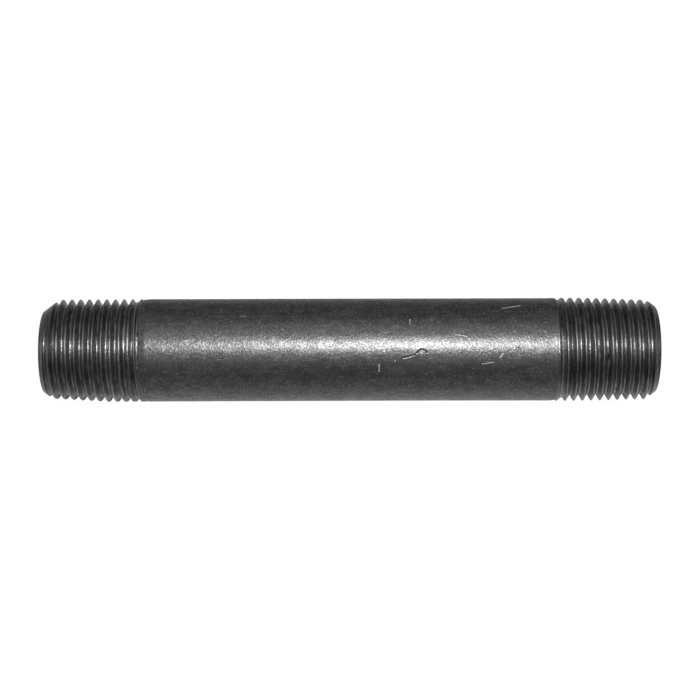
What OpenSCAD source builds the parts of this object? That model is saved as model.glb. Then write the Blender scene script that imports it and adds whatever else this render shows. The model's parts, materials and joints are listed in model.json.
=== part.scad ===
// Threaded pipe nipple: half-inch black steel pipe, five inches long, with a tapered
// pipe thread (1/2-14 NPT) cut on each end.
// The pipe lies along X. The origin is on its axis, halfway along it.
// The real nipple is one length of pipe. The nodes are its sections, which meet face
// to face: the plain barrel, the two threaded ends, and the low bead that the pipe's
// welded seam leaves inside the bore.

/* [Pipe] */
// Outside diameter of the pipe
pipe_od = 21.336; // [21.2:0.001:21.5]
// Wall thickness of the pipe
pipe_wall = 2.769; // [2.6:0.001:2.9]
// Overall length from end face to end face
overall_length = 127; // [50:1:300]

/* [Thread] */
// Threads in an inch of length
threads_per_inch = 14; // [14:0.5:15]
// Pitch diameter of the thread at the end face
pitch_diameter_at_face = 19.264; // [19.2:0.001:19.3]
// Growth of the thread's diameter for each unit of length
diameter_taper = 0.0625; // [0.05:0.0005:0.07]
// Height that the flat crest takes off the sharp 60 degree form
crest_flattening = 0.14; // [0.06:0.01:0.16]
// Height that the flat root leaves in the sharp 60 degree form
root_flattening = 0.06; // [0.04:0.01:0.14]
// Height to which cutting raises the crests above the pipe's skin near the run-out
crest_lip = 0.08; // [0:0.01:0.09]
// Length from the end face to where the cut runs out
thread_length = 21.5; // [20:0.1:22]
// Angle at which the cut runs out of the pipe, from the axis
runout_angle = 16.5; // [14:0.5:25]
// Angle of the outer chamfer at the end face, from the axis
chamfer_angle = 37; // [30:1:45]
// Width of the flat ring that the chamfer leaves on the end face
face_ring = 0.5; // [0.2:0.01:0.7]
// Angle about the pipe at which the left thread starts
left_start_angle = 90; // [0:1:360]
// Angle about the pipe at which the right thread starts
right_start_angle = 196; // [0:1:360]

/* [Seam] */
// Height of the weld bead above the bore's wall
bead_height = 0.18; // [0.05:0.01:0.2]
// Radius of the bead's rounded top
bead_top_radius = 1.6; // [1:0.1:3]
// Distance from each end face over which the bead is reamed away
bead_setback = 0.5; // [0.1:0.1:2]
// Angle of the bead about the pipe, from straight up
bead_angle = 205; // [0:1:360]

/* [Hidden] */

// Segments of a true round surface, and facets around a thread
round_segments = 360;
thread_facets = 60;
// Straight steps in each half of the bead's rounded section
bead_steps = 5;
// How far a cutting tool runs past the face that it opens
cut_margin = 1;
// Plain pipe between the thread's run-out and the end of the threaded node
plain_margin = 0.5;
// Length over which the crests' lip sinks back to the pipe's skin
lip_fade = 2.5;
// Points on a thread's surface that are closer together than this become one
shortest_edge = 0.04;
// Distances along the thread are whole multiples of this, so equal points are equal
finest_step = 0.0001;

pipe_r = pipe_od / 2;
bore_r = pipe_r - pipe_wall;
face_r = bore_r + face_ring;
end_length = thread_length + plain_margin;
barrel_length = overall_length - 2 * end_length;

pitch = 25.4 / threads_per_inch;
taper = diameter_taper / 2;
pitch_r = pitch_diameter_at_face / 2;
sharp_half_height = pitch * sqrt(3) / 4;
// Radial rise of a 30 degree flank for each unit of length
flank_slope = tan(60);
runout_slope = tan(runout_angle);

// In an axial section of a threaded end, the straight lines [radius at the end face,
// slope] that limit the thread from outside: the raised skin, its fall back to the
// pipe's own skin, the tapered crest and the chamfer
lip_slope = crest_lip / lip_fade;
outer_lines = [
    [pipe_r + crest_lip, 0],
    [pipe_r + end_length * lip_slope, -lip_slope],
    [pitch_r + sharp_half_height - crest_flattening, taper],
    [face_r, tan(chamfer_angle)]
];
// and those that limit the groove: the thread's tapered root and the run-out
floor_lines = [
    [pitch_r - sharp_half_height + root_flattening, taper],
    [pipe_r - thread_length * runout_slope, runout_slope]
];

function line_at(line, z) = line[0] + line[1] * z;
function outer_r(z) = min([for (line = outer_lines) line_at(line, z)]);
function floor_r(z) = max([for (line = floor_lines) line_at(line, z)]);

// Radius of the sharp apex that a ridge centred at z would have
function apex_r(z) = pitch_r + sharp_half_height + taper * z;
// Where the flank on the face side of a ridge meets a line, and the flank beyond it
function rising_meet(z, line) =
    (line[0] - apex_r(z) + flank_slope * z) / (flank_slope - line[1]);
function falling_meet(z, line) =
    (apex_r(z) + flank_slope * z - line[0]) / (flank_slope + line[1]);

// The four corners of one turn's section, as [distance from the end face, radius]:
// both edges of the crest, then both edges of the groove beyond it. A crest ends at
// the middle of the groove at the latest, where the chamfer has taken the groove away.
function on_grid(z) = round(z / finest_step) * finest_step;
function crest_start(z) =
    on_grid(max(z - pitch / 2, min([for (line = outer_lines) rising_meet(z, line)])));
function crest_end(z) =
    on_grid(min(z + pitch / 2, max([for (line = outer_lines) falling_meet(z, line)])));
function groove_start(z) = min([for (line = floor_lines) falling_meet(z, line)]);
function groove_end(z) = max([for (line = floor_lines) rising_meet(z, line)]);
function on_outer(z) = [z, outer_r(z)];
function on_floor(z) = [z, min(outer_r(z), floor_r(z))];
function groove_corner(z, crest) =
    abs(z - crest) < shortest_edge ? on_outer(crest) : on_floor(z);
function corner(z, index) =
    index == 0 ? on_outer(crest_start(z)) :
    index == 1 ? on_outer(crest_end(z)) :
    index == 2 ? groove_corner(max(groove_start(z), crest_end(z)), crest_end(z)) :
    let (next = crest_start(z + pitch))
    groove_corner(min(groove_end(z + pitch), next), next);

// A corner kept between the end face and the inner end of the threaded node
function kept(point) =
    point[0] < shortest_edge ? [0, face_r] :
    point[0] > end_length - shortest_edge ? [end_length, pipe_r] :
    point;

corners = 4;
first_turn = -2;
turns = ceil(end_length / pitch) + 2 - first_turn;
rows = corners * turns;

// Each row of points is a helix: it climbs one pitch in a turn round the pipe
function helix_point(row, column) =
    let (turn = first_turn + floor(row / corners))
    let (centre = pitch * (turn + column / thread_facets))
    let (at = kept(corner(centre, row % corners)))
    let (angle = 360 * column / thread_facets)
    [at[1] * cos(angle), at[1] * sin(angle), at[0]];
function index_of(row, column) = column < thread_facets ?
    row * thread_facets + column :
    (row + corners) * thread_facets;
function is_triangle(points, face) =
    points[face[0]] != points[face[1]]
    && points[face[1]] != points[face[2]]
    && points[face[2]] != points[face[0]];

// A solid threaded end: its end face at the origin, its thread climbing along Z
module threaded_bar() {
    ring = [for (row = [0:rows - 1], column = [0:thread_facets - 1])
        helix_point(row, column)];
    points = concat(ring, [[0, 0, 0], [0, 0, end_length]]);
    face_centre = len(ring);
    inner_centre = face_centre + 1;
    last_row = rows - 1;
    sides = [for (column = [0:thread_facets - 1])
        let (wraps = column == thread_facets - 1 ? corners : 0)
        for (row = [0:last_row - 1 - wraps], half = [0, 1])
            half == 0 ?
                [index_of(row, column), index_of(row + 1, column),
                    index_of(row + 1, column + 1)] :
                [index_of(row, column), index_of(row + 1, column + 1),
                    index_of(row, column + 1)]];
    caps = [for (column = [0:thread_facets - 1], cap = [0, 1])
        let (next = (column + 1) % thread_facets)
        cap == 0 ?
            [face_centre, column, next] :
            [inner_centre, last_row * thread_facets + next,
                last_row * thread_facets + column]];
    faces = [for (face = concat(sides, caps)) if (is_triangle(points, face)) face];
    polyhedron(points, faces);
}

module threaded_end(start_angle) {
    difference() {
        rotate([0, 0, start_angle]) threaded_bar();
        translate([0, 0, -cut_margin])
            cylinder(r = bore_r, h = end_length + 2 * cut_margin, $fn = round_segments);
    }
}

module left_threaded_end() {
    color([0.13, 0.13, 0.13])
        translate([-overall_length / 2, 0, 0])
            rotate([0, 90, 0])
                threaded_end(left_start_angle);
}

module right_threaded_end() {
    color([0.15, 0.15, 0.14])
        translate([overall_length / 2, 0, 0])
            rotate([0, -90, 0])
                threaded_end(right_start_angle);
}

module barrel() {
    color([0.24, 0.24, 0.24])
        rotate([0, 90, 0])
            difference() {
                cylinder(r = pipe_r, h = barrel_length, center = true, $fn = round_segments);
                cylinder(r = bore_r, h = barrel_length + 2 * cut_margin, center = true,
                    $fn = round_segments);
            }
}

// The bead's section, bounded by the bore's wall and by a rounded top
module bead_section() {
    top_centre = bore_r - bead_height + bead_top_radius;
    wall_angle = acos((bore_r ^ 2 + top_centre ^ 2 - bead_top_radius ^ 2)
        / (2 * bore_r * top_centre));
    top_angle = asin(bore_r * sin(wall_angle) / bead_top_radius);
    wall = [for (i = [-bead_steps:bead_steps])
        let (angle = wall_angle * i / bead_steps)
        [-bore_r * cos(angle), bore_r * sin(angle)]];
    top = [for (i = [bead_steps - 1:-1:1 - bead_steps])
        let (angle = top_angle * i / bead_steps)
        [bead_top_radius * cos(angle) - top_centre, bead_top_radius * sin(angle)]];
    polygon(concat(wall, top));
}

module weld_bead() {
    color([0.3, 0.28, 0.26])
        rotate([bead_angle, 0, 0])
            rotate([0, 90, 0])
                linear_extrude(height = overall_length - 2 * bead_setback, center = true)
                    bead_section();
}

barrel();
left_threaded_end();
right_threaded_end();
weld_bead();
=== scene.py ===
"""Looks of the threaded pipe nipple: black steel pipe lying on a white sheet, seen from above.

The CAD frame has the pipe along X and its axis through the origin, +Z up. Shapes are worked
out in millimetres and turned into metres where a mesh is made. An angle about the pipe is
measured from straight up (+Z) towards +Y.
"""
import json
import math

import bmesh
import bpy
import numpy as np
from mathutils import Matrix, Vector


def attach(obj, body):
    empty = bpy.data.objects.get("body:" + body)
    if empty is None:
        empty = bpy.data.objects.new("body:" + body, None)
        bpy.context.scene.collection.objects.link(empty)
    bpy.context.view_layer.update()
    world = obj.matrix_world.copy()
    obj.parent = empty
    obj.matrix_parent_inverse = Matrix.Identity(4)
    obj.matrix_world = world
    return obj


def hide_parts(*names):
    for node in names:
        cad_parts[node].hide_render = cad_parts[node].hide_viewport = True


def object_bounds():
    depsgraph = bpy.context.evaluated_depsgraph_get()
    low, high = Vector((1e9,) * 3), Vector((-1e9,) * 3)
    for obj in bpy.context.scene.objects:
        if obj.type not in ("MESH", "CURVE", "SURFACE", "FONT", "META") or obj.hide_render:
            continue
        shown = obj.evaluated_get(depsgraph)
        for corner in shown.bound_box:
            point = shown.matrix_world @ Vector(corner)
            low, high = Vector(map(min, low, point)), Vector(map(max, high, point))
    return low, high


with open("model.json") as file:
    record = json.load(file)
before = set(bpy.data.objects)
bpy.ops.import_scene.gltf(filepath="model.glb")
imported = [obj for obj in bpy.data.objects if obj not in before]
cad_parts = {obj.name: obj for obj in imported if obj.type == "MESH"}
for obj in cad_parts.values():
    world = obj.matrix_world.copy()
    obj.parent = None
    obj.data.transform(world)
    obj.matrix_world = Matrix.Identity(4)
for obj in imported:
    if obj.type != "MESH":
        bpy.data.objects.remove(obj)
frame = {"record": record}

MM = 0.001
cad_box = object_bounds()

# ---- sizes that the frame gives, in millimetres -------------------------------------------

mounts = {m["name"]: m["dims"] for m in frame["record"]["mounts"]}
PIPE_R = mounts["barrel_grip"]["r_mm"]
BORE_R = mounts["flow_bore"]["r_mm"]
PITCH_R = mounts["left_thread"]["r_mm"]
LENGTH = mounts["flow_bore"]["length_mm"]
BARREL_HALF = mounts["barrel_grip"]["length_mm"] / 2
END_LENGTH = LENGTH / 2 - BARREL_HALF
BOX_R = cad_box[1].z / MM
FLOOR_Z = cad_box[0].z

# ---- the thread's form, in millimetres ----------------------------------------------------
# It is the CAD source's, but for crests that start 0.02 higher, because they are then
# rounded, and a lip that is 0.01 lower, because the skin's waves are added to it.

PITCH = 25.4 / 14
TAPER = 0.0625 / 2
FLANK = math.tan(math.radians(60))
SHARP_HALF = PITCH * math.sqrt(3) / 4
CREST_FLATTENING = 0.12
ROOT_FLATTENING = 0.06
CREST_LIP = 0.07
LIP_FADE = 2.5
THREAD_LENGTH = 21.5
RUNOUT = math.tan(math.radians(16.5))
CHAMFER = math.radians(37)
CHAMFER_SLOPE = math.tan(CHAMFER)

# Reach of the rounding at crests and roots, then at the mouth's outer and inner edges
CREST_ROUNDING, ROOT_ROUNDING = 0.10, 0.42
MOUTH_ROUND, BORE_ROUND = 0.16, 0.12
# Points round a turn of the thread, and rows across each part of the ridge's section
THREAD_COLUMNS = 360
CREST_ROWS, FLANK_ROWS, ROOT_ROWS = 4, 6, 2
# Turns that the helix has to spare before the end face and past the node's inner end
SPARE_TURNS = 2
# Distance from the end face at which plain rings take over from the helix
MOUTH_LENGTH = 0.45
# Points on each rounded edge of the mouth, and rings along the bore of a threaded end
MOUTH_POINTS, END_BORE_RINGS = 5, 9
# Points closer together than this become one
WELD_TOLERANCE = 0.004


# ---- small helpers ------------------------------------------------------------------------

def random_waves(points, wavelength, seed, stretch=(1, 1, 1), count=28):
    """A smooth random field of zero mean and unit spread, made of plane waves."""
    random = np.random.default_rng(seed)
    directions = random.normal(size=(count, 3))
    directions /= np.linalg.norm(directions, axis=1)[:, None]
    lengths = wavelength * random.uniform(0.7, 1.5, count)
    numbers = directions * (2 * math.pi / lengths)[:, None] / np.array(stretch)
    phases = random.uniform(0, 2 * math.pi, count)
    total = np.zeros(len(points))
    for number, phase in zip(numbers, phases):
        total += np.sin(points @ number + phase)
    return total * math.sqrt(2 / count)


def smooth_step(x, low, high):
    """0 at low and 1 at high, with an easy start and stop. low may be the larger one."""
    t = np.clip((x - low) / (high - low), 0, 1)
    return t * t * (3 - 2 * t)


def soft_max(a, b, reach):
    """The larger of two values, with their crossing rounded over about that reach."""
    blend = np.maximum(reach - np.abs(a - b), 0) / reach
    return np.maximum(a, b) + blend * blend * reach / 4


def on_pipe(x, angle, radius):
    """Points at a distance along the pipe, an angle about it in radians and a radius."""
    return np.stack(np.broadcast_arrays(x, radius * np.sin(angle), radius * np.cos(angle)), -1)


# The mill's rolling waves, its shallow dents and its grain: height and wavelength in
# millimetres, seed, and stretch along X, Y and Z
SKIN_WAVES = [
    (0.010, 14, 11, (2.5, 1, 1)),
    (0.0045, 3.2, 12, (1, 1, 1)),
    (0.0016, 1.1, 13, (1, 1, 1)),
]


def skin_height(points):
    """How far the mill's skin stands off a true cylinder."""
    return sum(height * random_waves(points, wavelength, seed, stretch)
               for height, wavelength, seed, stretch in SKIN_WAVES)


def make_mesh(name, points, faces, attributes, sharp_degrees=38):
    """A mesh object from points in millimetres. Points closer than the tolerance become one,
    faces that lose their area go, and all faces look outwards."""
    keys = np.round(points / WELD_TOLERANCE).astype(np.int64)
    _, first, index = np.unique(keys, axis=0, return_index=True, return_inverse=True)
    index = index.ravel()
    points = points[first]
    attributes = {k: v[first] for k, v in attributes.items()}
    kept = []
    seen = set()
    for face in index[faces].tolist():
        corners = [v for i, v in enumerate(face) if v != face[i - 1]]
        key = frozenset(corners)
        if len(key) == len(corners) > 2 and key not in seen:
            seen.add(key)
            kept.append(corners)
    if signed_volume(points, kept) < 0:
        kept = [face[::-1] for face in kept]
    mesh = bpy.data.meshes.new(name)
    mesh.from_pydata((points * MM).tolist(), [], kept)
    mesh.polygons.foreach_set("use_smooth", np.ones(len(kept), bool))
    mesh.set_sharp_from_angle(angle=math.radians(sharp_degrees))
    for key, values in attributes.items():
        layer = mesh.attributes.new(key, "FLOAT", "POINT")
        layer.data.foreach_set("value", values.astype(np.float32))
    mesh.update()
    piece = bpy.data.objects.new(name, mesh)
    bpy.context.scene.collection.objects.link(piece)
    return piece


def signed_volume(points, faces):
    """Volume inside the faces, from their fans of triangles. Faces that look inwards make
    it negative."""
    fans = [(f[0], f[i], f[i + 1]) for f in faces for i in range(1, len(f) - 1)]
    a, b, c = (points[np.array(fans)[:, i]] for i in range(3))
    return float(np.einsum("ij,ij->i", a, np.cross(b, c)).sum() / 6)


def ring_faces(first, ring_count, columns):
    """Quads between rings of points stored one after another, each ring closed."""
    row = np.arange(ring_count - 1)[:, None] * columns + first
    column = np.arange(columns)
    following = (column + 1) % columns
    quads = [row + column, row + columns + column, row + columns + following, row + following]
    return np.stack(np.broadcast_arrays(*quads), -1).reshape(-1, 4)


def finish_piece(piece, material, node, skin_material=None):
    """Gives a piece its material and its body. Faces whose points carry "skin"
    take the second material."""
    piece.data.materials.append(material)
    if skin_material:
        piece.data.materials.append(skin_material)
        on_skin = [point.value for point in piece.data.attributes["skin"].data]
        for face in piece.data.polygons:
            share = sum(on_skin[v] for v in face.vertices) / len(face.vertices)
            face.material_index = int(share > 0.5)
    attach(piece, "root")
    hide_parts(node)


# ---- threaded ends ------------------------------------------------------------------------

# A crest wider than this keeps the pipe's skin where its top is this close to the form's
# outer limit and to the skin
WIDE_CREST, LIMIT_GAP, SKIN_GAP = 0.5, 0.02, 0.03
# The last scrape of the run-out is shallower than this, and farther from the end face, with
# a share of rubbed crest below this
SCRAPE_DEPTH, SCRAPE_START, SCRAPE_CREST = 0.22, 18.5, 0.3
# Crests are rubbed bright, and roots get metal that makes painted glints, where they are
# narrow, and neither where they are wide
NARROW_CREST, NARROW_ROOT, WIDE_ROOT = 0.3, 0.2, 0.35
# Shares of a crest's rubbing, and of a root's metal for painted glints, that the first and
# second rows beside it get
WEAR_AND_GLINT_BESIDE, ROOT_GLINT_BEYOND = 0.6, 0.2
# Points this close to the chamfer's cone, and to the end face, are on the chamfer
CONE_GAP, CONE_LENGTH = 0.03, 3
# Radius over which the mouth's rings become true to the bore
SHIFT_FADE = 0.2
# The die's tears: height and wavelength in millimetres, seed's step, stretch
TEAR_WAVES = [(0.006, 1.3, 0, (0.5, 1, 1)), (0.004, 0.7, 1, (1, 1, 1))]
# Share of the skin's waves that is left in the thread, and the least gap to the CAD's box
SKIN_IN_THREAD, BOX_GAP = 0.5, 0.004


def about_pipe(local_angle, side):
    """The angle about the pipe of an angle about a threaded end's own axis. Its local X
    points to +Z on the right end and to -Z on the left one."""
    return local_angle if side > 0 else math.pi - local_angle


def cone_r(end, angle, z):
    """Radius of the chamfer's cone."""
    return BORE_R + end["face_ring"] + end["chamfer_shift"] * np.sin(angle) + CHAMFER_SLOPE * z


def thread_corners(u, angle, end):
    """The corners of the ridge's section at each helix step u, and of the groove beyond it, as
    distances from the end face, then the radius function that they lie on and the one that
    limits it from outside. end["cant"] tilts the thread's axis about a point on the pipe's
    axis, as a die that isn't quite square does, and end["chamfer_shift"] moves the chamfer's
    axis towards +Y. end["root_fill"] is how high lacquer and chips fill the groove on the -Y
    side."""
    across, along = np.radians(end["cant"])
    tilt = across * np.sin(angle) + along * np.cos(angle)
    wobble = end["crest_wobble"](u)

    # A straight line in the section is (radius at the end face, slope)
    def canted(radius, slope):
        """A line of the thread's own form, tilted with its axis."""
        return radius + tilt * (slope * PITCH_R - end["cant_pivot"]), slope + tilt

    def level(radius, slope):
        """A line that is true to the pipe's axis."""
        return radius + 0 * tilt, slope + 0 * tilt

    lip = CREST_LIP * end["lip_wobble"](u)
    outer = [
        level(PIPE_R + lip, 0),
        (PIPE_R + lip * END_LENGTH / LIP_FADE, -lip / LIP_FADE),
        canted(PITCH_R + SHARP_HALF - CREST_FLATTENING + wobble, TAPER),
        level(cone_r(end, angle, 0), CHAMFER_SLOPE),
    ]
    fill = end["root_fill"] * np.clip(-np.sin(angle), 0, 1) ** 2
    floor = [
        canted(PITCH_R - SHARP_HALF + ROOT_FLATTENING + fill, TAPER),
        level(PIPE_R - THREAD_LENGTH * RUNOUT, RUNOUT),
    ]
    apex = canted(PITCH_R + SHARP_HALF, TAPER)

    def outer_r(z):
        return np.min([line[0] + line[1] * z for line in outer], axis=0)

    def floor_r(z):
        return np.max([line[0] + line[1] * z for line in floor], axis=0)

    def centre(step):
        """Distance from the end face of the middle of a ridge."""
        return PITCH * step - PITCH_R * tilt

    def apex_r(z):
        """Radius of the sharp apex that a ridge centred at z would have."""
        return apex[0] + apex[1] * z

    def rising(z, line):
        """Where the flank on the face side of a ridge centred at z meets a line."""
        slope = FLANK + tilt
        return (line[0] - apex_r(z) + slope * z) / (slope - line[1])

    def falling(z, line):
        """Where the flank beyond it does."""
        slope = FLANK - tilt
        return (apex_r(z) + slope * z - line[0]) / (slope + line[1])

    here, beyond = centre(u), centre(u + 1)
    crest_start = np.maximum(here - PITCH / 2, np.min([rising(here, l) for l in outer], 0))
    crest_end = np.minimum(here + PITCH / 2, np.max([falling(here, l) for l in outer], 0))
    next_start = np.maximum(beyond - PITCH / 2, np.min([rising(beyond, l) for l in outer], 0))
    groove_start = np.maximum(np.min([falling(here, l) for l in floor], 0), crest_end)
    groove_end = np.minimum(np.max([rising(beyond, l) for l in floor], 0), next_start)
    groove_start = np.minimum(groove_start, next_start)
    groove_end = np.maximum(groove_end, groove_start)

    def radius(z):
        """Radius of the thread between this ridge and the next, with its corners rounded."""
        up = apex_r(here) - (FLANK - tilt) * (z - here)
        down = apex_r(beyond) - (FLANK + tilt) * (beyond - z)
        crest = apex_r(here) + (FLANK + tilt) * (z - here)
        ridge = np.maximum(np.minimum(up, np.where(z < here, crest, up)), down)
        rounded = soft_max(floor_r(z), ridge, ROOT_ROUNDING)
        return -soft_max(-outer_r(z), -rounded, CREST_ROUNDING)

    return [crest_start, crest_end, groove_start, groove_end, next_start], radius, outer_r


def mouth_profile(face_r):
    """The rounded mouth and the bore as (distance from the end face, radius)."""
    outer_centre = face_r - MOUTH_ROUND * (1 - math.sin(CHAMFER)) / math.cos(CHAMFER)
    outer_arc = [(MOUTH_ROUND * (1 - math.sin(a)), outer_centre + MOUTH_ROUND * math.cos(a))
                 for a in np.linspace(CHAMFER, math.pi / 2, MOUTH_POINTS)]
    start = (MOUTH_LENGTH, face_r + CHAMFER_SLOPE * MOUTH_LENGTH)
    inner_arc = [(BORE_ROUND * (1 - math.cos(a)), BORE_R + BORE_ROUND * (1 - math.sin(a)))
                 for a in np.linspace(0, math.pi / 2, MOUTH_POINTS)]
    bore = [(z, BORE_R) for z in np.linspace(1, END_LENGTH, END_BORE_RINGS)]
    return [start] + outer_arc + inner_arc + bore + [(END_LENGTH, PIPE_R)]


def mouth_rings(end, ring_angle):
    """The points of the mouth and the bore, ring after ring, and which of them are in the
    mouth."""
    profile = mouth_profile(BORE_R + end["face_ring"])
    rings = []
    for distance, ring_r in profile:
        share = min(1, max(0, ring_r - BORE_R - BORE_ROUND) / SHIFT_FADE)
        ring_r = ring_r + end["chamfer_shift"] * share * np.sin(ring_angle)
        rings.append(on_pipe(end["side"] * (LENGTH / 2 - distance), ring_angle, ring_r))
    # The first ring meets the cut chamfer, and the last one the barrel's skin
    rings[0] = displace_thread(rings[0], end, np.zeros(THREAD_COLUMNS, bool))
    rings[-1] = displace_thread(rings[-1], end, np.ones(THREAD_COLUMNS, bool))
    in_mouth = np.repeat([distance <= MOUTH_LENGTH for distance, _ in profile], THREAD_COLUMNS)
    return np.concatenate(rings), in_mouth


def helix_faces(steps, per_step):
    """Quads of the helical grid. The last row of a turn joins the first one of the next."""
    step = np.arange(steps - THREAD_COLUMNS - 1)[:, None]
    row = np.arange(per_step)[None, :]
    next_step = np.where(row == per_step - 1, step + THREAD_COLUMNS, step)
    next_row = (row + 1) % per_step
    a = step * per_step + row
    b = next_step * per_step + next_row
    c = (next_step + 1) * per_step + next_row
    d = (step + 1) * per_step + row
    return np.stack(np.broadcast_arrays(a, b, c, d), -1).reshape(-1, 4)


def crest_wear_and_root_glint_shares(corners, shape):
    """How far each point of the grid is rubbed bright as a crest, and how far it carries a
    root's metal that makes painted glints.
    """
    crest = np.zeros(shape)
    crest[:, :CREST_ROWS + 1] = 1
    crest[:, [-1, CREST_ROWS + 1]] = WEAR_AND_GLINT_BESIDE
    root = np.zeros(shape)
    first, last = CREST_ROWS + FLANK_ROWS, CREST_ROWS + FLANK_ROWS + ROOT_ROWS
    root[:, first:last + 1] = 1
    root[:, [first - 1, last + 1]] = WEAR_AND_GLINT_BESIDE
    root[:, [first - 2, last + 2]] = ROOT_GLINT_BEYOND
    crest *= smooth_step(corners[1] - corners[0], WIDE_CREST, NARROW_CREST)[:, None]
    root *= smooth_step(corners[3] - corners[2], WIDE_ROOT, NARROW_ROOT)[:, None]
    return crest, root


def threaded_end(name, end):
    """One threaded end with its bore wall: a helical grid of points, then plain rings."""
    turns = math.ceil(END_LENGTH / PITCH) + 2 * SPARE_TURNS
    steps = turns * THREAD_COLUMNS
    u = np.arange(steps) / THREAD_COLUMNS - SPARE_TURNS
    start = math.radians(end["start_angle"])
    angle = about_pipe(start + 2 * math.pi * u, end["side"])
    corners, radius, outer_r = thread_corners(u, angle, end)
    rows = []
    for low, high, count in zip(corners[:-1], corners[1:],
                                (CREST_ROWS, FLANK_ROWS, ROOT_ROWS, FLANK_ROWS)):
        # Rows crowd towards the corners, where the form is rounded
        rows += [low + (high - low) * (1 - math.cos(math.pi * i / count)) / 2
                 for i in range(count)]
    z = np.stack(rows, 1)
    r = np.stack([radius(row) for row in rows], 1)
    limit_r = np.stack([outer_r(row) for row in rows], 1)
    past_mouth = z < MOUTH_LENGTH
    past_barrel = z > END_LENGTH
    z = np.where(past_mouth, MOUTH_LENGTH, np.where(past_barrel, END_LENGTH, z))
    mouth_r = cone_r(end, angle, MOUTH_LENGTH)[:, None]
    r = np.where(past_mouth, mouth_r, np.where(past_barrel, PIPE_R, r))

    # crest is the crests' rubbing; root marks the roots' metal that makes painted glints
    crest, root = crest_wear_and_root_glint_shares(corners, z.shape)
    on_skin = (limit_r - r < LIMIT_GAP) & (r > PIPE_R - SKIN_GAP)
    kept_skin = on_skin & (corners[1] - corners[0] > WIDE_CREST)[:, None] | past_barrel
    # The run-out's last shallow scrape is no barer than the skin beside it
    kept_skin |= (r > PIPE_R - SCRAPE_DEPTH) & (z > SCRAPE_START) & (crest < SCRAPE_CREST)
    on_chamfer = (np.abs(cone_r(end, angle[:, None], z) - r) < CONE_GAP) & (z < CONE_LENGTH)
    crest[on_chamfer] = 0
    root[on_chamfer | kept_skin] = 0

    # Each turn's columns stand at the same angles as the rings' to the last digit
    turned = 2 * math.pi * (np.arange(steps) % THREAD_COLUMNS) / THREAD_COLUMNS
    grid_angle = about_pipe(turned + start, end["side"])
    world_angle = np.repeat(grid_angle[:, None], len(rows), 1)
    x = end["side"] * (LENGTH / 2 - z)
    points = on_pipe(x.ravel(), world_angle.ravel(), r.ravel())
    points = displace_thread(points, end, on_skin.ravel() | past_barrel.ravel())
    ring_points, in_mouth = mouth_rings(end, grid_angle[:THREAD_COLUMNS])
    ring_count = len(ring_points) // THREAD_COLUMNS
    faces = np.concatenate([helix_faces(steps, len(rows)),
                            ring_faces(len(points), ring_count, THREAD_COLUMNS)])
    no_rubbing = np.zeros(len(ring_points))
    attributes = {
        "chamfer": np.concatenate([on_chamfer.ravel(), in_mouth]).astype(float),
        "crest": np.concatenate([crest.ravel(), no_rubbing]),
        "root": np.concatenate([root.ravel(), no_rubbing]),
        "skin": np.concatenate([kept_skin.ravel(), ~in_mouth]).astype(float),
    }
    return make_mesh(name, np.concatenate([points, ring_points]), faces, attributes)


def displace_thread(points, end, on_skin):
    """The waves of the pipe's own skin where it is left, and the die's tears elsewhere."""
    radial = points * [0, 1, 1]
    distance = np.linalg.norm(radial, axis=1)
    radial /= distance[:, None]
    skin = skin_height(points)
    tears = sum(height * random_waves(points, wavelength, end["seed"] + seed_step, stretch)
                for height, wavelength, seed_step, stretch in TEAR_WAVES)
    height = np.where(on_skin, skin, tears + SKIN_IN_THREAD * skin)
    height = np.minimum(height, BOX_R - BOX_GAP - distance)
    return points + radial * height[:, None]


def wobble_of(seed, size, wavelength, offset=0.0):
    """A random function of the distance along the helix in turns, about an offset."""
    def value(u):
        line = np.stack([u, 0 * u, 0 * u], 1)
        return offset + size * random_waves(line, wavelength, seed)
    return value


# ---- barrel -------------------------------------------------------------------------------

# Marks on the barrel: [distance along the pipe, angle in degrees] of each point
LAP_CRACK = [
    [(10.9, -9.0), (12.0, -7.7), (12.6, -6.5), (13.0, -5.6), (13.3, -6.0)],
    [(13.6, -3.6), (14.15, -0.7), (14.6, 0.3), (15.3, -0.7), (15.75, -3.2)],
]
LAP_RIDGE = [(15.75, -3.2), (16.1, -8.7), (16.2, -15.0), (16.0, -22.0)]
DIMPLE = (14.3, -13.5)
# Depth and reach of the crack, then its raised lips, the ridge and the dimple
CRACK_DEPTH, CRACK_REACH = 0.08, 0.11
RAISED_HEIGHT, RAISED_OFFSET, RAISED_REACH = 0.014, 0.3, 0.16
RIDGE_HEIGHT, RIDGE_REACH = 0.012, 0.22
DIMPLE_DEPTH, DIMPLE_REACH = 0.030, (1.5, 1.3)
# Where the barrel's grid is finer, for the crack, with its steps elsewhere and there
FINE_X, X_STEPS = (10.2, 17.0), (0.40, 0.125)
FINE_ANGLE, ANGLE_STEPS = (-26, 3), (1.35, 0.65)
BARREL_BORE_RINGS = 34


def axis_steps(low, high, fine_low, fine_high, coarse, fine):
    """Values from low to high, closer together between fine_low and fine_high."""
    parts = [
        np.linspace(low, fine_low, round((fine_low - low) / coarse), endpoint=False),
        np.linspace(fine_low, fine_high, round((fine_high - fine_low) / fine), endpoint=False),
        np.linspace(fine_high, high, round((high - fine_high) / coarse) + 1),
    ]
    return np.concatenate(parts)


def distance_to_path(x, y, path):
    """Distance from points on the unrolled skin to a line through a path's points."""
    nearest = np.full(x.shape, 1e9)
    for (ax, ay), (bx, by) in zip(path[:-1], path[1:]):
        along = ((x - ax) * (bx - ax) + (y - ay) * (by - ay)) / ((bx - ax) ** 2 + (by - ay) ** 2)
        along = np.clip(along, 0, 1)
        gap = np.hypot(x - ax - along * (bx - ax), y - ay - along * (by - ay))
        nearest = np.minimum(nearest, gap)
    return nearest


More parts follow.
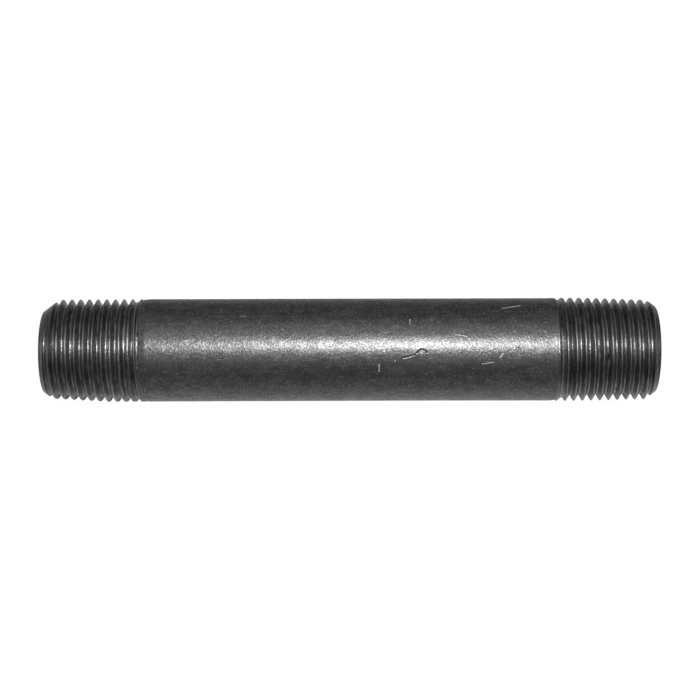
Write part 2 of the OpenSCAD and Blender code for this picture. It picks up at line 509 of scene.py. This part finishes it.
def unrolled(path):
    """The path's points on the unrolled skin, in millimetres."""
    return [(x, PIPE_R * math.radians(a)) for x, a in path]


def bell(distance, reach):
    """1 at no distance, falling smoothly to nearly 0 at twice the reach."""
    return np.exp(-(distance / reach) ** 2)


def barrel_marks(x, angle):
    """Height of the lap crack, of its ridge and of the dimple below it."""
    y = PIPE_R * (np.mod(angle + math.pi, 2 * math.pi) - math.pi)
    crack = np.min([distance_to_path(x, y, unrolled(path)) for path in LAP_CRACK], axis=0)
    ridge = distance_to_path(x, y, unrolled(LAP_RIDGE))
    dimple_x, dimple_y = unrolled([DIMPLE])[0]
    height = -CRACK_DEPTH * bell(crack, CRACK_REACH)
    height += RAISED_HEIGHT * bell(crack - RAISED_OFFSET, RAISED_REACH)
    height += RIDGE_HEIGHT * bell(ridge, RIDGE_REACH)
    height -= (DIMPLE_DEPTH * bell(x - dimple_x, DIMPLE_REACH[0])
               * bell(y - dimple_y, DIMPLE_REACH[1]))
    return height


def barrel(name):
    """The plain pipe between the threads: its skin, and its bore's wall."""
    xs = axis_steps(-BARREL_HALF, BARREL_HALF, *FINE_X, *X_STEPS)
    angles = np.radians(axis_steps(-180, 180, *FINE_ANGLE, *ANGLE_STEPS))[:-1]
    columns = len(angles)
    x, angle = (v.ravel() for v in np.meshgrid(xs, angles, indexing="ij"))
    base = on_pipe(x, angle, PIPE_R)
    outside = on_pipe(x, angle, PIPE_R + skin_height(base) + barrel_marks(x, angle))
    inner_xs = np.linspace(BARREL_HALF, -BARREL_HALF, BARREL_BORE_RINGS)
    x_in, angle_in = (v.ravel() for v in np.meshgrid(inner_xs, angles, indexing="ij"))
    inside = on_pipe(x_in, angle_in, BORE_R)
    points = np.concatenate([outside, inside, outside[:columns]])
    rings = len(xs) + len(inner_xs) + 1
    return make_mesh(name, points, ring_faces(0, rings, columns), {})


# ---- weld bead ----------------------------------------------------------------------------

BEAD_HEIGHT = 0.18
BEAD_TOP_R = 1.6
BEAD_ANGLE = 205
BEAD_SETBACK = 0.5
# Points across the bead's top, and the step between its rings
BEAD_COLUMNS = 13
BEAD_STEP = 0.3
# Shares of the bead's full width and height that it has, and its lowest height
BEAD_FILL_WIDTH, BEAD_FILL_HEIGHT, BEAD_LOWEST = 0.9, 0.97, 0.5
# Depth and wavelength of the ripples, and size and wavelength of the width's drift
RIPPLE, RIPPLE_LENGTH = 0.12, 2.6
DRIFT, DRIFT_LENGTH = 0.004, 17


def weld_bead(name):
    """The low ridge of the welded seam inside the bore, with the ripples of its making."""
    top_centre = BORE_R - BEAD_HEIGHT + BEAD_TOP_R
    wall = math.acos((BORE_R ** 2 + top_centre ** 2 - BEAD_TOP_R ** 2) / (2 * BORE_R * top_centre))
    xs = np.arange(-LENGTH / 2 + BEAD_SETBACK, LENGTH / 2 - BEAD_SETBACK, BEAD_STEP)
    centre = math.radians(-BEAD_ANGLE)
    share = np.linspace(-1, 1, BEAD_COLUMNS)
    line = np.stack([xs, 0 * xs, 0 * xs], 1)
    heights = 1 - RIPPLE * np.abs(random_waves(line, RIPPLE_LENGTH, 31))
    widths = BEAD_FILL_WIDTH + DRIFT * random_waves(line, DRIFT_LENGTH, 32)
    rings = []
    for x, height, width in zip(xs, heights, widths):
        offsets = wall * share * width
        height = BEAD_FILL_HEIGHT * BEAD_HEIGHT * max(height, BEAD_LOWEST)
        top = on_pipe(x, centre + offsets, BORE_R - height * (1 - share ** 2))
        under = on_pipe(x, centre + offsets[-2:0:-1], BORE_R)
        rings.append(np.concatenate([top, under]))
    faces = ring_faces(0, len(rings), len(rings[0]))
    piece = make_mesh(name, np.concatenate(rings), faces, {}, sharp_degrees=60)
    close_ends(piece)
    return piece


def close_ends(piece):
    """Fills the piece's open rings."""
    mesh = bmesh.new()
    mesh.from_mesh(piece.data)
    bmesh.ops.holes_fill(mesh, edges=[e for e in mesh.edges if e.is_boundary], sides=0)
    bmesh.ops.recalc_face_normals(mesh, faces=mesh.faces)
    mesh.to_mesh(piece.data)
    mesh.free()


# ---- materials ----------------------------------------------------------------------------

class Shader:
    """A principled material with short calls for the nodes that feed it."""

    def __init__(self, name, specular, coat_roughness, coat=1.0):
        self.material = bpy.data.materials.new(name)
        self.material.use_nodes = True
        self.nodes = self.material.node_tree.nodes
        self.links = self.material.node_tree.links
        self.surface = self.nodes["Principled BSDF"]
        self.surface.inputs["Specular IOR Level"].default_value = specular
        self.surface.inputs["Coat Weight"].default_value = coat
        self.surface.inputs["Coat Roughness"].default_value = coat_roughness
        self.place = self.nodes.new("ShaderNodeTexCoord").outputs["Object"]

    def put(self, node, socket, value):
        """Links a socket's output to a node's input, or sets the input to a plain value."""
        if isinstance(value, bpy.types.NodeSocket):
            self.links.new(value, node.inputs[socket])
        elif value is not None:
            node.inputs[socket].default_value = value

    def scaled(self, scale):
        """The place on the object, multiplied by a scale for each axis."""
        node = self.nodes.new("ShaderNodeMapping")
        node.inputs["Scale"].default_value = scale
        self.links.new(self.place, node.inputs["Vector"])
        return node.outputs["Vector"]

    def noise(self, size_mm, detail, roughness, stretch=(1, 1, 1)):
        """Noise whose features measure about size_mm, longer by stretch along X, Y and Z."""
        node = self.nodes.new("ShaderNodeTexNoise")
        per_metre = 1 / (size_mm * MM)
        self.put(node, "Vector", self.scaled([per_metre / s for s in stretch]))
        node.inputs["Scale"].default_value = 1
        node.inputs["Detail"].default_value = detail
        node.inputs["Roughness"].default_value = roughness
        return node.outputs["Fac"]

    def cells(self, size_mm):
        """Distance from the nearest of many scattered points, in shares of size_mm."""
        node = self.nodes.new("ShaderNodeTexVoronoi")
        per_metre = 1 / (size_mm * MM)
        self.put(node, "Vector", self.scaled([per_metre] * 3))
        node.inputs["Scale"].default_value = 1
        return node.outputs["Distance"]

    def attribute(self, name):
        node = self.nodes.new("ShaderNodeAttribute")
        node.attribute_name = name
        return node.outputs["Fac"]

    def math(self, operation, a, b=None, c=None):
        node = self.nodes.new("ShaderNodeMath")
        node.operation = operation
        for socket, value in enumerate((a, b, c)):
            self.put(node, socket, value)
        return node.outputs["Value"]

    def ramp(self, value, low, high, start=0.0, stop=1.0):
        """value from low to high becomes start to stop, and stays between them."""
        node = self.nodes.new("ShaderNodeMapRange")
        for socket, given in (("Value", value), ("From Min", low), ("From Max", high),
                              ("To Min", start), ("To Max", stop)):
            self.put(node, socket, given)
        return node.outputs["Result"]

    def mix(self, share, first, second):
        node = self.nodes.new("ShaderNodeMix")
        node.data_type = "RGBA"
        # The sockets of a colour mix come after those of its other kinds
        self.put(node, 0, share)
        self.put(node, 6, first)
        self.put(node, 7, second)
        return node.outputs[2]

    def bump(self, height, depth_mm):
        node = self.nodes.new("ShaderNodeBump")
        node.inputs["Strength"].default_value = 1.0
        node.inputs["Distance"].default_value = depth_mm * MM
        self.put(node, "Height", height)
        return node.outputs["Normal"]

    def vector_math(self, operation, a, b=None):
        node = self.nodes.new("ShaderNodeVectorMath")
        node.operation = operation
        self.put(node, 0, a)
        self.put(node, 1, b)
        return node.outputs["Value" if operation in ("DOT_PRODUCT", "LENGTH") else "Vector"]

    def scratch(self, start, stop, width_mm):
        """1 on a straight scratch between two points of the skin, 0 away from it."""
        first, last = (skin_point(place) for place in (start, stop))
        run = last - first
        offset = self.vector_math("SUBTRACT", self.place, tuple(first))
        along = self.vector_math("DOT_PRODUCT", offset, tuple(run / (run @ run)))
        along = self.ramp(along, 0.0, 1.0)
        node = self.nodes.new("ShaderNodeVectorMath")
        node.operation = "SCALE"
        node.inputs[0].default_value = tuple(run)
        self.links.new(along, node.inputs["Scale"])
        off_line = self.vector_math("SUBTRACT", offset, node.outputs["Vector"])
        gap = self.vector_math("LENGTH", off_line)
        return self.ramp(gap, width_mm * MM * 0.25, width_mm * MM * 0.75, 1.0, 0.0)

    def runout_line(self):
        """1 on the thin bright burr where each thread's last cut leaves the pipe. The right
        one shows on the lower part of the skin only."""
        split = self.nodes.new("ShaderNodeSeparateXYZ")
        self.links.new(self.place, split.inputs[0])
        x, y = split.outputs["X"], split.outputs["Y"]
        lines = []
        for place, lean in RUNOUT_LINES:
            offset = self.math("SUBTRACT", x, place * MM)
            offset = self.math("MULTIPLY_ADD", y, lean, offset)
            core, edge = (reach * MM for reach in RUNOUT_LINE_REACH)
            lines.append(self.ramp(self.math("ABSOLUTE", offset), core, edge, 1.0, 0.0))
        low, high = (y_mm * MM for y_mm in RIGHT_LINE_TOP)
        lower = self.ramp(y, low, high, 1.0, 0.0)
        return self.math("MAXIMUM", lines[0], self.math("MULTIPLY", lines[1], lower))

    def spot(self, place, radius_mm, flat_mm):
        """1 within flat_mm of a point of the skin, falling to 0 at radius_mm."""
        offset = self.vector_math("SUBTRACT", self.place, tuple(skin_point(place)))
        gap = self.vector_math("LENGTH", offset)
        return self.ramp(gap, flat_mm * MM, radius_mm * MM, 1.0, 0.0)


def skin_point(place):
    """The point of the skin at (distance along the pipe, angle in degrees), in metres."""
    x, angle = place
    return on_pipe(x, math.radians(angle), PIPE_R) * MM


def grey(value, warm=0.0):
    """A grey colour, redder and less blue by the share warm."""
    return (value * (1 + warm), value, value * (1 - warm), 1)


# Burrs at the run-outs: distance along the pipe and how they lean as they go round, then
# how far from its middle a burr is whole and gone, and the Y where the right one fades out
RUNOUT_LINES = [(-43.75, 0.03), (43.3, 0.03)]
RUNOUT_LINE_REACH = (0.06, 0.14)
RIGHT_LINE_TOP = (3.5, 4.5)
# Scratches on the barrel: start and stop as (distance along the pipe, angle), width
BRIGHT_SCRATCHES = [
    ((31.3, 51.7), (35.1, 57.5), 0.24),
    ((12.3, 35.0), (12.3, 29.0), 0.17),
    ((-13.3, 9.6), (-12.3, 12.8), 0.20),
    ((30.5, -9.0), (31.1, -4.6), 0.26),
    ((26.9, -15.9), (29.3, -14.0), 0.17),
    ((21.6, 16.5), (24.0, 14.2), 0.17),
    ((6.0, -16.4), (6.0, -24.6), 0.18),
    ((-22.3, 40.2), (-21.2, 40.2), 0.14),
    ((-33.6, 9.7), (-32.6, 10.6), 0.2),
]
DARK_SCRATCHES = [
    ((24.7, 82.0), (26.9, 59.8), 0.30),
    ((-19.7, 38.0), (-16.0, 38.0), 0.16),
    ((-13.2, 11.0), (-12.2, 14.2), 0.14),
    ((-26.7, -9.4), (-25.5, -9.8), 0.16),
    ((33.4, -0.6), (34.6, 4.4), 0.07),
    ((33.4, 4.6), (34.8, -0.8), 0.07),
    ((10.5, 44.5), (19.5, 44.0), 0.22),
]
# Nicks and flecks, and the 0.7 wide dot at (14.5, -3.6), which is a painted highlight:
# distance along the pipe, angle, width
BRIGHT_DOTS = [
    (16.8, 34.2, 0.30), (39.7, 19.6, 0.32), (-23.9, 32.4, 0.26), (-13.55, 23.0, 0.26),
    (22.85, 15.3, 0.24), (-39.9, -36.4, 0.26), (-34.9, -26.1, 0.26), (14.5, -3.6, 0.7),
    (7.0, -1.5, 0.6), (9.2, -12.5, 0.34), (18.0, 31.0, 0.22), (37.9, 26.5, 0.22),
]
# Width of the crack's line of painted shade
CRACK_LINE = 0.15
# Where the lacquer is thin and brown, and how far that reaches
BROWN_PLACE, BROWN_REACH = (12.9, -19.0), 3.0
# Colours of exposed metal on scratches and of one painted highlight, of worn crests, of root
# metal that makes painted glints, of near black for the dark scratches and for painted shade
# in the crack, of the brown patch, of rust and of old oil
BARE_METAL_AND_HIGHLIGHT = grey(0.65)
BARE_CREST, ROOT_GLINT_METAL = grey(0.38), grey(0.55)
CRACK_SHADE_AND_DARK_SCRATCH = grey(0.003)
BROWN = (0.034, 0.020, 0.019, 1)
RUST = (0.035, 0.022, 0.018, 1)
OLD_OIL = (0.03, 0.025, 0.016, 1)


def black_skin(shader):
    """The mill's black lacquered scale, as (colour, roughness, height, gloss) sockets."""
    patches = shader.noise(9, 3, 0.55, stretch=(2, 1, 1))
    grain = shader.noise(0.36, 1, 0.5)
    streaks = shader.noise(0.8, 2, 0.5, stretch=(14, 1, 1))
    fine = shader.noise(0.36, 1, 0.5, stretch=(0.8, 1.3, 1.3))
    rust = shader.noise(4, 3, 0.6)
    mottle = shader.noise(1.7, 3, 0.6, stretch=(1.5, 1, 1))
    blotches = shader.noise(1.1, 1, 0.5)
    # Black, greyer where each of these rises
    tone = shader.ramp(patches, 0.3, 0.7, 0.0, 0.10)
    tone = shader.math("ADD", tone, shader.ramp(fine, 0.54, 0.78, 0.0, 1.0))
    tone = shader.math("ADD", tone, shader.ramp(streaks, 0.4, 0.7, 0.0, 0.12))
    tone = shader.math("ADD", tone, shader.ramp(mottle, 0.42, 0.66, 0.0, 0.16))
    colour = shader.mix(tone, grey(0.001), grey(0.12))
    colour = shader.mix(shader.ramp(rust, 0.55, 0.75, 0.0, 0.25), colour, RUST)
    roughness = shader.ramp(fine, 0.35, 0.65, 0.70, 0.42)
    gloss = shader.math("MULTIPLY", shader.ramp(fine, 0.36, 0.60, 0.78, 1.0),
                        shader.ramp(mottle, 0.40, 0.56, 0.75, 1.0))
    height = shader.math("MULTIPLY_ADD", streaks, 0.15, grain)
    height = shader.math("MULTIPLY_ADD", blotches, 0.4, height)
    return colour, roughness, height, gloss


def bright_marks(shader):
    """1 on the skin's scratches, nicks, specks and burrs of exposed metal, and on one
    painted highlight dot.
    """
    marks = shader.ramp(shader.cells(4.0), 0.020, 0.045, 1.0, 0.0)
    for start, stop, width in BRIGHT_SCRATCHES:
        marks = shader.math("MAXIMUM", marks, shader.scratch(start, stop, width))
    marks = shader.math("MAXIMUM", marks, shader.runout_line())
    # Scratches and burrs are fainter in places, dots aren't
    breaks = shader.ramp(shader.noise(0.5, 2, 0.6), 0.38, 0.55, 0.4, 1.0)
    marks = shader.math("MULTIPLY", marks, breaks)
    for x, angle, size in BRIGHT_DOTS:
        marks = shader.math("MAXIMUM", marks, shader.spot((x, angle), size / 2, size / 5))
    return marks


def dark_marks(shader):
    """1 on the skin's dark scratches, and on the lap crack's line of painted shade."""
    crack = [leg for path in LAP_CRACK for leg in zip(path[:-1], path[1:])]
    lines = DARK_SCRATCHES + [(start, stop, CRACK_LINE) for start, stop in crack]
    marks = shader.scratch(*lines[0])
    for line in lines[1:]:
        marks = shader.math("MAXIMUM", marks, shader.scratch(*line))
    return marks


def finish_surface(shader, colour, roughness, height, depth_mm):
    """Links a surface's looks. The lacquer over it has the same bumps."""
    normal = shader.bump(height, depth_mm)
    for socket, value in (("Base Color", colour), ("Roughness", roughness),
                          ("Normal", normal), ("Coat Normal", normal)):
        shader.put(shader.surface, socket, value)


def pipe_skin_material():
    """Black lacquered scale with its marks at their places."""
    shader = Shader("black_pipe_skin", specular=1.0, coat_roughness=0.32)
    shader.surface.inputs["Coat IOR"].default_value = 1.68
    colour, roughness, height, gloss = black_skin(shader)
    bright = bright_marks(shader)
    dark = dark_marks(shader)
    brown = shader.spot(BROWN_PLACE, BROWN_REACH, 0.0)
    colour = shader.mix(shader.math("MULTIPLY", brown, 0.6), colour, BROWN)
    # Exposed metal of scratches, specks and burrs, and one painted highlight dot
    colour = shader.mix(bright, colour, BARE_METAL_AND_HIGHLIGHT)
    # Near black on the dark scratches, and painted shade along the crack
    colour = shader.mix(dark, colour, CRACK_SHADE_AND_DARK_SCRATCH)
    # A dark mark is dull and sunk, and has no lacquer
    roughness = shader.ramp(dark, 0.0, 1.0, roughness, 1.0)
    height = shader.math("MULTIPLY_ADD", dark, -1.0, height)
    shader.put(shader.surface, "Coat Weight", shader.ramp(dark, 0.0, 1.0, gloss, 0.0))
    finish_surface(shader, colour, roughness, height, 0.031)
    return shader.material


def turn_gloss_round(shader):
    """Stretches the gloss across the cut's tool marks, which run round the pipe."""
    shader.surface.inputs["Anisotropic"].default_value = 0.8
    shader.surface.inputs["Anisotropic Rotation"].default_value = 0.25
    tangent = shader.nodes.new("ShaderNodeTangent")
    tangent.direction_type = "RADIAL"
    tangent.axis = "X"
    shader.put(shader.surface, "Tangent", tangent.outputs["Tangent"])


def exposed_metal_and_glints(shader, crest, root, tears):
    """1 on metal: exposed in patches along crests, in a few nicks and on the run-out's burr,
    and in patches along the roots, where it makes painted glints."""
    worn = shader.ramp(shader.noise(2.2, 2, 0.6), 0.35, 0.65, 0.60, 0.88)
    # The crests' share is rubbing, the roots' share is painted glint
    edge = shader.math("MAXIMUM", shader.math("MULTIPLY", crest, worn),
                       shader.math("MULTIPLY", root, 0.74))
    scuffs = shader.noise(0.5, 2, 0.6, stretch=(0.5, 8, 8))
    exposed_and_glint = shader.ramp(shader.math("MULTIPLY_ADD", edge, 0.5, scuffs), 0.72, 0.80)
    broken = shader.ramp(tears, 0.36, 0.60, 0.2, 1.0)
    burr = shader.math("MULTIPLY", shader.runout_line(), broken)
    exposed_and_glint = shader.math("MAXIMUM", exposed_and_glint, burr)
    nicks = shader.ramp(shader.cells(1.9), 0.05, 0.09, 0.9, 0.0)
    return shader.math("MAXIMUM", exposed_and_glint, nicks)


def thread_material():
    """Cut metal, darkened by oil and lacquer, with exposed patches, root metal that makes
    painted glints, and a turned chamfer.
    """
    shader = Shader("cut_thread", specular=0.7, coat_roughness=0.24)
    shader.surface.inputs["IOR"].default_value = 1.65
    shader.surface.inputs["Coat IOR"].default_value = 1.6
    turn_gloss_round(shader)
    crest = shader.attribute("crest")
    root = shader.attribute("root")
    chamfer = shader.attribute("chamfer")
    tool_marks = shader.noise(0.42, 2, 0.55, stretch=(0.8, 10, 10))
    tears = shader.noise(0.38, 2, 0.6, stretch=(0.8, 1.3, 1.3))
    oil = shader.noise(5, 2, 0.5)
    turned = shader.noise(0.42, 1, 0.5, stretch=(0.7, 30, 30))
    tone = shader.ramp(tears, 0.48, 0.75, 0.0, 0.9)
    tone = shader.math("ADD", tone, shader.ramp(tool_marks, 0.45, 0.75, 0.0, 0.8))
    colour = shader.mix(tone, grey(0.001), grey(0.060))
    colour = shader.mix(shader.ramp(oil, 0.5, 0.75, 0.0, 0.3), colour, OLD_OIL)
    turned_colour = shader.mix(shader.ramp(turned, 0.50, 0.72), grey(0.003), grey(0.14))
    colour = shader.mix(chamfer, colour, turned_colour)
    exposed_and_glint = exposed_metal_and_glints(shader, crest, root, tears)
    # Worn crests, and root metal that makes painted glints
    colour = shader.mix(exposed_and_glint, colour, shader.mix(crest, ROOT_GLINT_METAL, BARE_CREST))
    roughness = shader.ramp(tears, 0.3, 0.7, 0.58, 0.46)
    for place, value in ((root, 0.38), (crest, 0.62), (chamfer, 0.62)):
        roughness = shader.ramp(place, 0.0, 1.0, roughness, value)
    height = shader.math("MULTIPLY_ADD", tool_marks, 1.1, tears)
    height = shader.math("MULTIPLY", height, shader.ramp(root, 0.0, 1.0, 1.0, 0.6))
    height = shader.math("MULTIPLY_ADD", shader.math("MULTIPLY", turned, chamfer), 3.0, height)
    shader.put(shader.surface, "Metallic", exposed_and_glint)
    finish_surface(shader, colour, roughness, height, 0.07)
    return shader.material


def weld_material():
    """The seam's crust, a little warmer than the skin."""
    shader = Shader("weld_seam", specular=0.8, coat_roughness=0.35, coat=0.6)
    crust = shader.noise(0.9, 4, 0.6)
    colour = shader.mix(shader.ramp(crust, 0.3, 0.7), grey(0.03, 0.06), grey(0.13, 0.12))
    shader.put(shader.surface, "Base Color", colour)
    shader.put(shader.surface, "Roughness", shader.ramp(crust, 0.3, 0.7, 0.45, 0.7))
    shader.put(shader.surface, "Normal", shader.bump(crust, 0.05))
    return shader.material


# ---- stage, light and camera --------------------------------------------------------------

# The sheet as the camera sees it: light of its own, and grey that takes a shadow
SHEET_GLOW = 0.985
SHEET_SHADED = 0.09
# What the pipe reflects: greys of the sheet, of the bench by it and farther off, with the Y
# in millimetres where each gives way to the next
SHEET_GREY, NEAR_BENCH, FAR_BENCH = 0.72, 0.5, 0.10
SHEET_TO_BENCH = (-10, 10)
NEAR_TO_FAR = (14, 32)
# Half the sheet's side, in metres
SHEET_HALF = 3.0
# Lights: place and size in metres, power in watts
KEY = ((0.031, 0.092, 0.5), 0.07, 2.0)
FILL = ((0.0, 0.37, 0.34), 0.25, 0.12)
# The room's brightness, and the Y of a direction at which it goes from dark to bright
ROOM_DARK, ROOM_BRIGHT = 0.04, 0.33
ROOM_EDGE = (-0.9, -0.99)
CAMERA_DISTANCE_MM = 355
CAMERA_SHIFT_MM = (0.10, -0.05)
CAMERA_LENS = 87.5
CAMERA_SENSOR = 36
CAMERA_ROLL = -0.15
# Nearest and farthest distance that the camera sees, in metres
CAMERA_CLIP = (0.01, 20)


def floor_material():
    """What the camera sees is an evenly lit white sheet that takes only a faint shadow. What
    the pipe reflects is that sheet on its -Y side and a grey bench on its +Y side."""
    material = bpy.data.materials.new("white_sheet")
    material.use_nodes = True
    nodes, links = material.node_tree.nodes, material.node_tree.links
    nodes.remove(nodes["Principled BSDF"])

    def diffuse(value):
        node = nodes.new("ShaderNodeBsdfDiffuse")
        node.inputs["Color"].default_value = grey(value)
        return node.outputs["BSDF"]

    def joined(kind, share, first, second):
        """Two shaders mixed by a share, or added where there is none."""
        node = nodes.new(kind)
        inputs = [first, second] if share is None else [share, first, second]
        for socket, output in zip(node.inputs, inputs):
            links.new(output, socket)
        return node.outputs["Shader"]

    glow = nodes.new("ShaderNodeEmission")
    glow.inputs["Strength"].default_value = SHEET_GLOW
    seen = joined("ShaderNodeAddShader", None, glow.outputs["Emission"], diffuse(SHEET_SHADED))
    place = nodes.new("ShaderNodeNewGeometry")
    split = nodes.new("ShaderNodeSeparateXYZ")
    links.new(place.outputs["Position"], split.inputs[0])

    def across(start, stop):
        """0 where Y is below start, 1 where it is above stop, both in millimetres."""
        node = nodes.new("ShaderNodeMapRange")
        node.inputs["From Min"].default_value = start * MM
        node.inputs["From Max"].default_value = stop * MM
        links.new(split.outputs["Y"], node.inputs["Value"])
        return node.outputs["Result"]

    bench = joined("ShaderNodeMixShader", across(*NEAR_TO_FAR), diffuse(NEAR_BENCH),
                   diffuse(FAR_BENCH))
    reflected = joined("ShaderNodeMixShader", across(*SHEET_TO_BENCH), diffuse(SHEET_GREY), bench)
    path = nodes.new("ShaderNodeLightPath")
    both = joined("ShaderNodeMixShader", path.outputs["Is Camera Ray"], reflected, seen)
    links.new(both, nodes["Material Output"].inputs["Surface"])
    return material


def make_floor():
    mesh = bpy.data.meshes.new("sheet")
    corners = [(SHEET_HALF * x, SHEET_HALF * y, FLOOR_Z)
               for x, y in ((-1, -1), (1, -1), (1, 1), (-1, 1))]
    mesh.from_pydata(corners, [], [(0, 1, 2, 3)])
    floor = bpy.data.objects.new("sheet", mesh)
    bpy.context.scene.collection.objects.link(floor)
    mesh.materials.append(floor_material())


def area_light(name, place, size, power):
    """A round light that shines at the middle of the pipe."""
    data = bpy.data.lights.new(name, "AREA")
    data.shape = "DISK"
    data.size = size
    data.energy = power
    light = bpy.data.objects.new(name, data)
    light.location = place
    light.rotation_euler = (-Vector(place)).to_track_quat("-Z", "Y").to_euler()
    bpy.context.scene.collection.objects.link(light)


def make_lights():
    """A key light beside the camera, a weak fill on the +Y side, and a room that is brighter
    on the -Y side. What the camera sees of the room is white."""
    area_light("key", *KEY)
    area_light("fill", *FILL)
    world = bpy.data.worlds.new("room")
    bpy.context.scene.world = world
    world.use_nodes = True
    nodes, links = world.node_tree.nodes, world.node_tree.links
    back = nodes["Background"]
    place = nodes.new("ShaderNodeTexCoord")
    split = nodes.new("ShaderNodeSeparateXYZ")
    links.new(place.outputs["Generated"], split.inputs[0])
    side = nodes.new("ShaderNodeMapRange")
    side.interpolation_type = "SMOOTHSTEP"
    links.new(split.outputs["Y"], side.inputs["Value"])
    for socket, value in (("From Min", ROOM_EDGE[0]), ("From Max", ROOM_EDGE[1]),
                          ("To Min", ROOM_DARK), ("To Max", ROOM_BRIGHT)):
        side.inputs[socket].default_value = value
    path = nodes.new("ShaderNodeLightPath")
    shown = nodes.new("ShaderNodeMath")
    shown.operation = "MAXIMUM"
    links.new(path.outputs["Is Camera Ray"], shown.inputs[0])
    links.new(side.outputs["Result"], shown.inputs[1])
    back.inputs["Color"].default_value = (1, 1, 1, 1)
    links.new(shown.outputs["Value"], back.inputs["Strength"])


def make_camera():
    data = bpy.data.cameras.new("camera")
    data.lens = CAMERA_LENS
    data.sensor_width = CAMERA_SENSOR
    data.clip_start, data.clip_end = CAMERA_CLIP
    camera = bpy.data.objects.new("camera", data)
    camera.location = [distance * MM for distance in (*CAMERA_SHIFT_MM, CAMERA_DISTANCE_MM)]
    camera.rotation_euler = (0, 0, math.radians(CAMERA_ROLL))
    bpy.context.scene.collection.objects.link(camera)
    bpy.context.scene.camera = camera


# ---- the object ---------------------------------------------------------------------------

# Each threaded end: the side of X that it is on, where its thread starts about its axis in
# degrees, how it is canted in degrees and about which point, in millimetres from the end
# face, and what its mouth, grooves and crests are like
LEFT_END = {
    "side": -1, "start_angle": 90, "cant": (-1.6, 0.5), "cant_pivot": 12, "seed": 41,
    "face_ring": 0.58, "chamfer_shift": -0.3, "root_fill": 0.3,
    "crest_wobble": wobble_of(51, 0.012, 0.35),
    "lip_wobble": wobble_of(52, 0.3, 0.6, 0.8),
}
RIGHT_END = {
    "side": 1, "start_angle": 196, "cant": (0.5, -1.0), "cant_pivot": 13, "seed": 43,
    "face_ring": 1.05, "chamfer_shift": 0.0, "root_fill": 0.0,
    "crest_wobble": wobble_of(53, 0.012, 0.35),
    "lip_wobble": wobble_of(54, 0.3, 0.6, 0.8),
}

pipe_skin = pipe_skin_material()
cut = thread_material()
finish_piece(barrel("black_barrel"), pipe_skin, "barrel")
finish_piece(threaded_end("left_cut_thread", LEFT_END), cut, "left_threaded_end",
             pipe_skin)
finish_piece(threaded_end("right_cut_thread", RIGHT_END), cut,
             "right_threaded_end", pipe_skin)
finish_piece(weld_bead("bore_weld_bead"), weld_material(), "weld_bead")

make_floor()
make_lights()
make_camera()
bpy.context.scene.view_settings.view_transform = "Standard"
